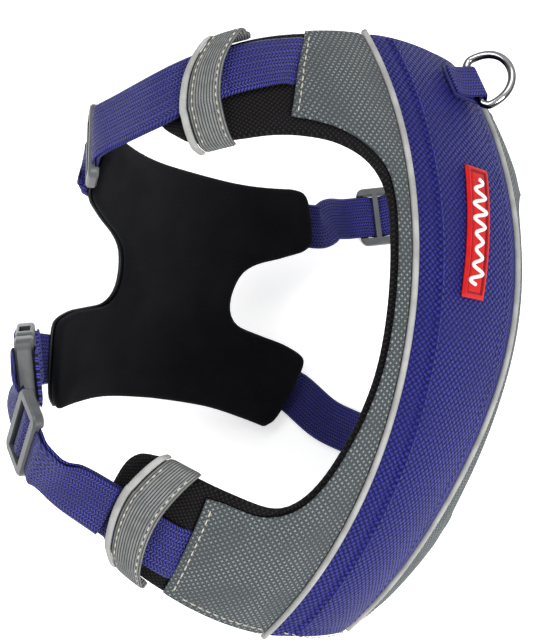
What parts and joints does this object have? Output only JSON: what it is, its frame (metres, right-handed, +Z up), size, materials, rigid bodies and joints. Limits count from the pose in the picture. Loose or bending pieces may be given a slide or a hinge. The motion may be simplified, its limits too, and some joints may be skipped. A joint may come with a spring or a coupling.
{
  "type": "dog harness",
  "caption": "Padded front-and-back clip dog harness lying on its side, with webbing straps, sliders, side-release buckle and chest plate.",
  "frame": {"origin": "middle of the footprint, on the table that the harness lies on", "axes": "+X towards the dog's back, +Y towards the neck end, +Z up; the dog's right side is down"},
  "size_m": [0.2458, 0.2736, 0.2261],
  "materials": {
    "neoprene": "matt black neoprene with a fine woven face",
    "blue_nylon": "coarse basket weave nylon, low sheen",
    "grey_mesh": "woven grey fabric with pale flecks",
    "grey_elastic": "ribbed grey elastic, stitched",
    "piping": "smooth warm grey cord",
    "webbing": "ribbed nylon webbing",
    "grey_plastic": "satin moulded plastic",
    "label_rubber": "moulded red rubber",
    "label_print": "raised pale rubber",
    "ring_steel": "polished steel wire",
    "chest_skin": "smooth dark outer skin, slight gloss"
  },
  "bodies": {
    "harness": {"liner_waist": "neoprene", "liner_neck_near": "neoprene", "liner_girth_near": "neoprene", "liner_neck_far": "neoprene", "liner_girth_far": "neoprene", "spine_panel": "blue_nylon", "side_panel_near": "grey_mesh", "piping_near": "piping", "side_panel_far": "grey_mesh", "piping_far": "piping", "neck_near_keeper": "grey_elastic", "neck_near_keeper_piping": "piping", "neck_near_strap": "webbing", "neck_near_tail": "webbing", "neck_near_slider": "grey_plastic", "neck_far_keeper": "grey_elastic", "neck_far_keeper_piping": "piping", "neck_far_strap": "webbing", "neck_far_tail": "webbing", "neck_far_slider": "grey_plastic", "girth_near_keeper": "grey_elastic", "girth_near_keeper_piping": "piping", "girth_near_strap": "webbing", "girth_near_tail": "webbing", "girth_near_slider": "grey_plastic", "girth_far_keeper": "grey_elastic", "girth_far_keeper_piping": "piping", "girth_far_strap": "webbing", "girth_far_tail": "webbing", "girth_far_slider": "grey_plastic", "label": "label_rubber", "label_wave": "label_print", "back_ring_tab": "webbing", "chest_liner": "neoprene", "chest_shell": "chest_skin", "front_ring_tab": "webbing", "buckle_plug": "grey_plastic"},
    "back_ring": {"back_ring": "ring_steel"},
    "front_ring": {"front_ring": "ring_steel"},
    "socket": {"buckle_socket": "grey_plastic", "buckle_tab": "webbing"},
    "prong_a": {"buckle_prong_a": "grey_plastic"},
    "prong_b": {"buckle_prong_b": "grey_plastic"}
  },
  "joints": [
    {"name": "back_ring_swing", "type": "hinge", "parent": "harness", "child": "back_ring", "pos_m": [0.09298, 0.11638, 0.16036], "axis": [-0.2643, 0.9154, -0.3036], "range_deg": [-60, 60]},
    {"name": "front_ring_swing", "type": "hinge", "parent": "harness", "child": "front_ring", "pos_m": [-0.05832, 0.06989, 0.05832], "axis": [0.6922, 0.0146, -0.7215], "range_deg": [-105, 5]},
    {"name": "buckle_release", "type": "slide", "parent": "harness", "child": "socket", "axis": [-0.2002, 0.3604, -0.9111], "range_m": [0, 0.018]},
    {"name": "prong_a_squeeze", "type": "hinge", "parent": "harness", "child": "prong_a", "pos_m": [-0.11074, -0.00796, 0.16913], "axis": [-0.9787, -0.1175, 0.1686], "range_deg": [0, 12.1]},
    {"name": "prong_b_squeeze", "type": "hinge", "parent": "harness", "child": "prong_b", "pos_m": [-0.10975, -0.02776, 0.16108], "axis": [-0.9787, -0.1175, 0.1686], "range_deg": [-12.1, 0]}
  ],
  "couplings": [
    {"joint": "prong_a_squeeze", "follows": "buckle_release", "rad_per_m": 11.636},
    {"joint": "prong_b_squeeze", "follows": "buckle_release", "rad_per_m": -11.636}
  ]
}
